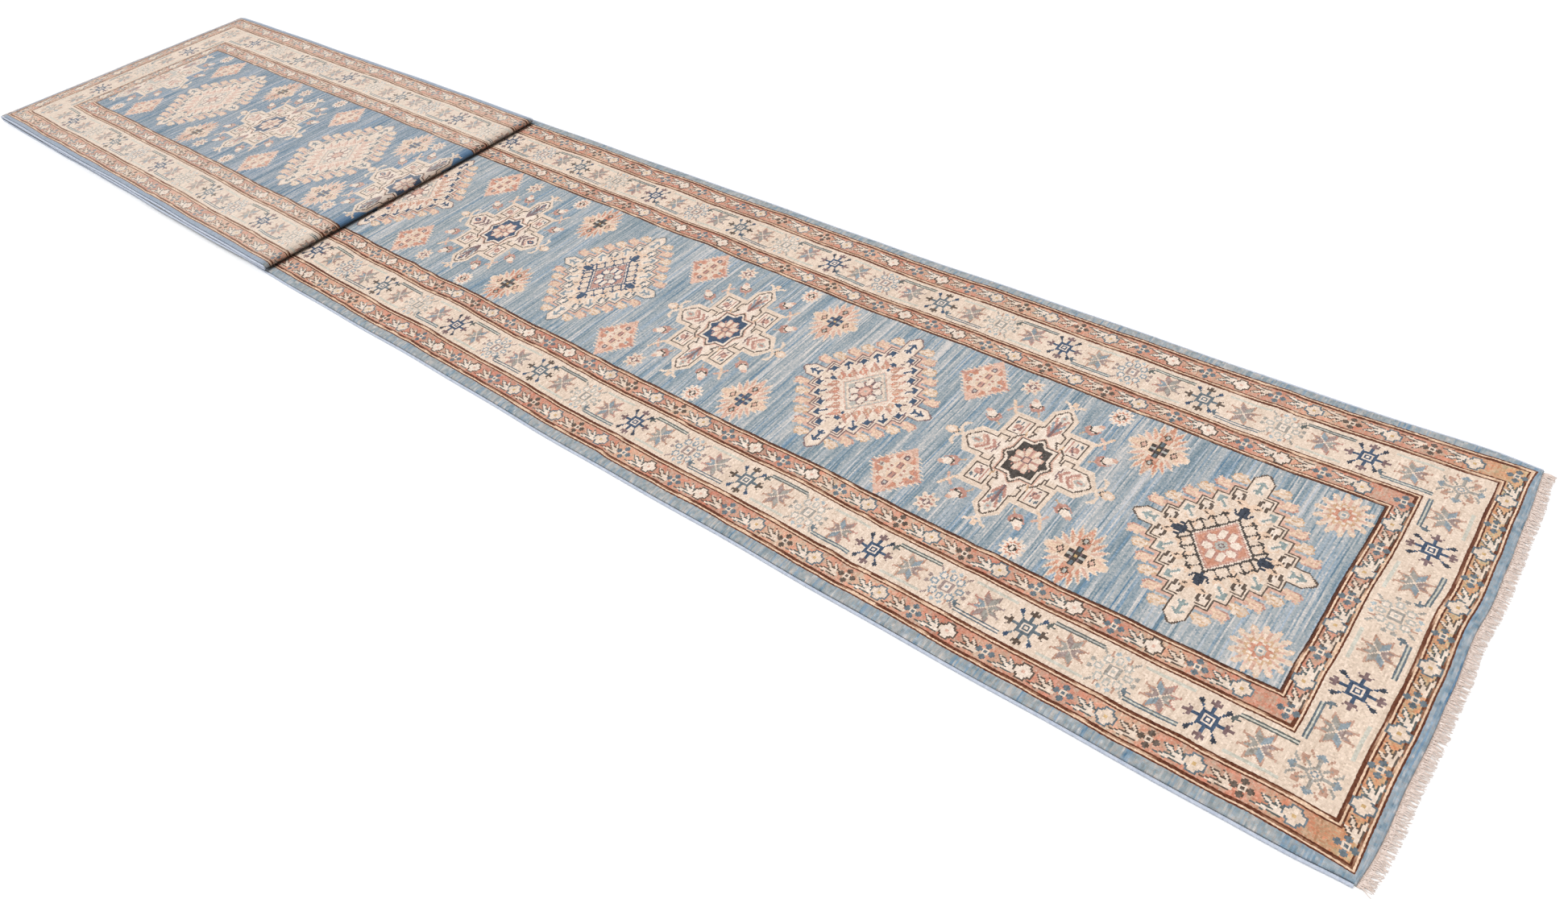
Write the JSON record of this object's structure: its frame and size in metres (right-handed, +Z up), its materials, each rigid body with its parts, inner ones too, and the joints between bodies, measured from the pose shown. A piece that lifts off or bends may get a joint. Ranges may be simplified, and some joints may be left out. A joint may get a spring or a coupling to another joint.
{
  "type": "runner rug",
  "caption": "Long narrow hand-knotted wool floor runner with a patterned pile, bordered field, overcast sides and fringed ends, folded twice and able to unfold flat.",
  "frame": {"origin": "on the floor under the middle of the folded rug's bounding box", "axes": "+Y along the rug from the near fringed end to the back fold, +X to the right when looking along +Y, +Z up"},
  "size_m": [0.8256, 3.934, 0.0261],
  "materials": {
    "foundation_wool_cotton": "flat woven warps and wefts with the knots showing through the back",
    "field_wool": "soft cut wool pile, blue with streaks of older and newer dye, patterned with medallions",
    "inner_border_wool": "soft cut wool pile, salmon with small flowers between rust guard lines",
    "main_border_wool": "soft cut wool pile, warm ivory with eight-pointed flowers and palmettes",
    "outer_border_wool": "soft cut wool pile, salmon and tan with small flowers between rust guard lines",
    "edge_band_wool": "soft cut wool pile, plain slate blue",
    "selvedge_wool": "wool yarn wound round the edge warps, pale blue",
    "kilim_weave": "flat weave, undyed wool",
    "twining_yarn": "twisted undyed yarn",
    "fringe_cotton": "limp undyed cotton warp ends"
  },
  "bodies": {
    "base_length": {"base_foundation": "foundation_wool_cotton", "base_field_pile": "field_wool", "base_edge_band_pile": "edge_band_wool", "base_outer_border_pile": "outer_border_wool", "base_main_border_pile": "main_border_wool", "base_inner_border_pile": "inner_border_wool", "base_selvedge_left": "selvedge_wool", "base_selvedge_right": "selvedge_wool", "near_kilim_strip": "kilim_weave", "near_twined_cord": "twining_yarn", "near_fringe": "fringe_cotton", "back_fold_foundation": "foundation_wool_cotton", "back_fold_pile": "field_wool", "back_fold_selvedge_left": "selvedge_wool", "back_fold_selvedge_right": "selvedge_wool"},
    "middle_length": {"middle_foundation": "foundation_wool_cotton", "middle_field_pile": "field_wool", "middle_edge_band_pile_left": "edge_band_wool", "middle_edge_band_pile_right": "edge_band_wool", "middle_outer_border_pile_left": "outer_border_wool", "middle_outer_border_pile_right": "outer_border_wool", "middle_main_border_pile_left": "main_border_wool", "middle_main_border_pile_right": "main_border_wool", "middle_inner_border_pile_left": "inner_border_wool", "middle_inner_border_pile_right": "inner_border_wool", "middle_selvedge_left": "selvedge_wool", "middle_selvedge_right": "selvedge_wool", "front_fold_foundation": "foundation_wool_cotton", "front_fold_pile": "field_wool", "front_fold_selvedge_left": "selvedge_wool", "front_fold_selvedge_right": "selvedge_wool"},
    "top_length": {"top_foundation": "foundation_wool_cotton", "top_field_pile": "field_wool", "top_edge_band_pile": "edge_band_wool", "top_outer_border_pile": "outer_border_wool", "top_main_border_pile": "main_border_wool", "top_inner_border_pile": "inner_border_wool", "top_selvedge_left": "selvedge_wool", "top_selvedge_right": "selvedge_wool", "far_kilim_strip": "kilim_weave", "far_twined_cord": "twining_yarn", "far_fringe": "fringe_cotton"}
  },
  "joints": [
    {"name": "back_fold", "type": "hinge", "parent": "base_length", "child": "middle_length", "pos_m": [0, 1.96155, 0.0084], "axis": [-1, 0, 0], "range_deg": [0, 180], "deforming": ["back_fold_foundation", "back_fold_pile", "back_fold_selvedge_left", "back_fold_selvedge_right"]},
    {"name": "front_fold", "type": "hinge", "parent": "middle_length", "child": "top_length", "pos_m": [0, 0.43055, 0.0177], "axis": [1, 0, 0], "range_deg": [0, 180], "deforming": ["front_fold_foundation", "front_fold_pile", "front_fold_selvedge_left", "front_fold_selvedge_right"]}
  ]
}
